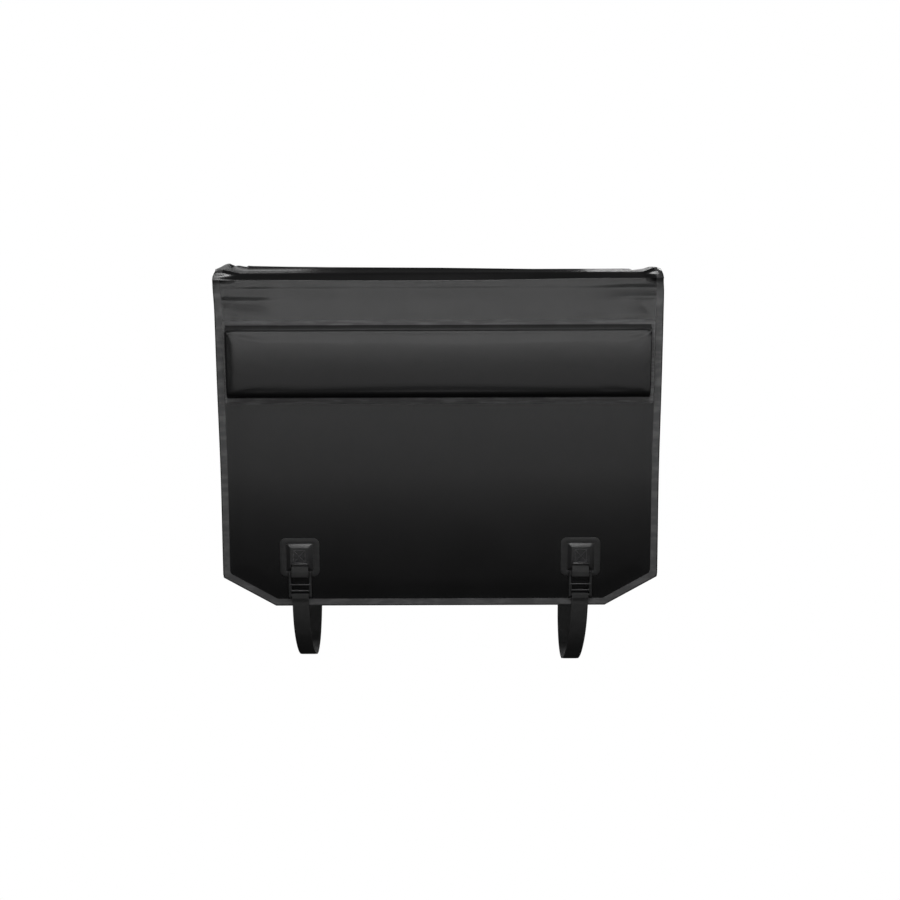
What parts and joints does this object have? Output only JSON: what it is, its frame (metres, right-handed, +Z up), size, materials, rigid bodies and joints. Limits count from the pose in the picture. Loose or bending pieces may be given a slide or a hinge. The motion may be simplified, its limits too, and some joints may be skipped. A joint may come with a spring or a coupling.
{
  "type": "tailgate bike pad",
  "caption": "Padded cover that hangs over a truck's tailgate to carry bikes, with a bumper cushion across the front and buckled straps that pass under the tailgate.",
  "frame": {"origin": "on the lining's underside, at the middle of the flat strip that rests on the tailgate's top edge", "axes": "+X to the pad's right along the tailgate, the front face with the bumper towards -Y, +Z up"},
  "size_m": [0.838, 0.1714, 0.7814],
  "materials": {
    "coated_fabric": "satin black coated fabric, welded",
    "lining": "matt dark grey soft lining",
    "foam": "closed-cell foam",
    "webbing": "black ribbed webbing",
    "moulded": "black moulded plastic",
    "thread": "black bonded thread"
  },
  "bodies": {
    "root": {"outer_cover": "coated_fabric", "inner_lining": "lining", "front_foam": "foam", "top_foam": "foam", "rear_foam": "foam", "bumper_cover": "coated_fabric", "bumper_foam": "foam", "front_patch_left": "coated_fabric", "anchor_cap_left": "moulded", "webbing_tab_left": "webbing", "front_stitch_left": "thread", "buckle_left": "moulded", "strap_left": "webbing", "rear_patch_left": "coated_fabric", "rear_stitch_left": "thread", "front_patch_right": "coated_fabric", "anchor_cap_right": "moulded", "webbing_tab_right": "webbing", "front_stitch_right": "thread", "buckle_right": "moulded", "strap_right": "webbing", "rear_patch_right": "coated_fabric", "rear_stitch_right": "thread"}
  },
  "joints": []
}
